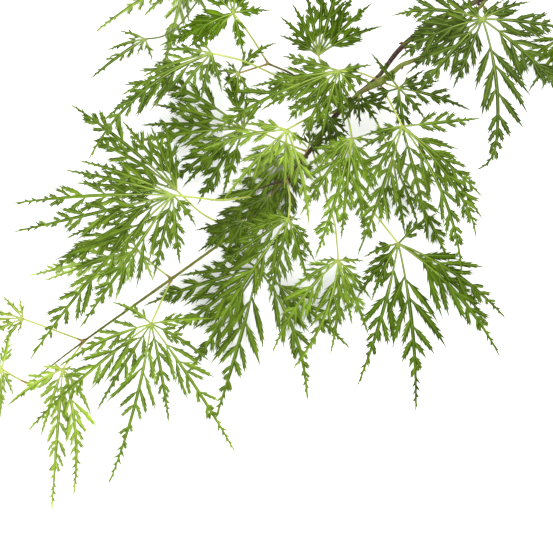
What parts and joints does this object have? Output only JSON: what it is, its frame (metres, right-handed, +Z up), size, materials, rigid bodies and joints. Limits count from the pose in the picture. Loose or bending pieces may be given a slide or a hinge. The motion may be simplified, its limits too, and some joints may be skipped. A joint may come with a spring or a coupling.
{
  "type": "cut branch of a cut-leaf japanese maple",
  "caption": "Thin woody branch of a cut-leaf maple, lying down: a bent stem with a green shoot, side twigs and long-stalked leaves whose narrow toothed lobes spread like fingers.",
  "frame": {"origin": "middle of the branch's footprint, on the floor it lies on", "axes": "+Z is up from the floor. +X is along the longest side, from the leafy tip's end towards the cut end. +Y is across, towards the side of the arching twig."},
  "size_m": [0.394, 0.3418, 0.0479],
  "materials": {
    "bark": "matt, dark red-brown young bark",
    "green_bark": "smooth, satin, olive green",
    "dead_bark": "matt, dry",
    "pale_leaf": "soft satin leaf, pale green",
    "bright_leaf": "soft satin leaf, bright green",
    "mid_leaf": "soft satin leaf, mid green",
    "dark_leaf": "soft satin leaf, dark green"
  },
  "bodies": {
    "root": {"arching_twig": "bark", "dead_spur": "dead_bark", "dead_twig": "dead_bark", "green_shoot": "green_bark", "leaf_01": "mid_leaf", "leaf_02": "pale_leaf", "leaf_03": "mid_leaf", "leaf_04": "bright_leaf", "leaf_05": "pale_leaf", "leaf_06": "dark_leaf", "leaf_07": "mid_leaf", "leaf_08": "bright_leaf", "leaf_09": "dark_leaf", "leaf_10": "bright_leaf", "leaf_11": "bright_leaf", "leaf_12": "mid_leaf", "leaf_13": "mid_leaf", "leaf_14": "bright_leaf", "leaf_15": "pale_leaf", "leaf_16": "pale_leaf", "leaf_17": "pale_leaf", "leaf_18": "bright_leaf", "leaf_19": "dark_leaf", "leaf_20": "mid_leaf", "leaf_21": "mid_leaf", "leaf_22": "pale_leaf", "leaf_23": "dark_leaf", "leaf_24": "dark_leaf", "leaf_25": "pale_leaf", "leaf_26": "dark_leaf", "leaf_27": "dark_leaf", "main_stem": "bark", "side_twig": "bark"}
  },
  "joints": []
}
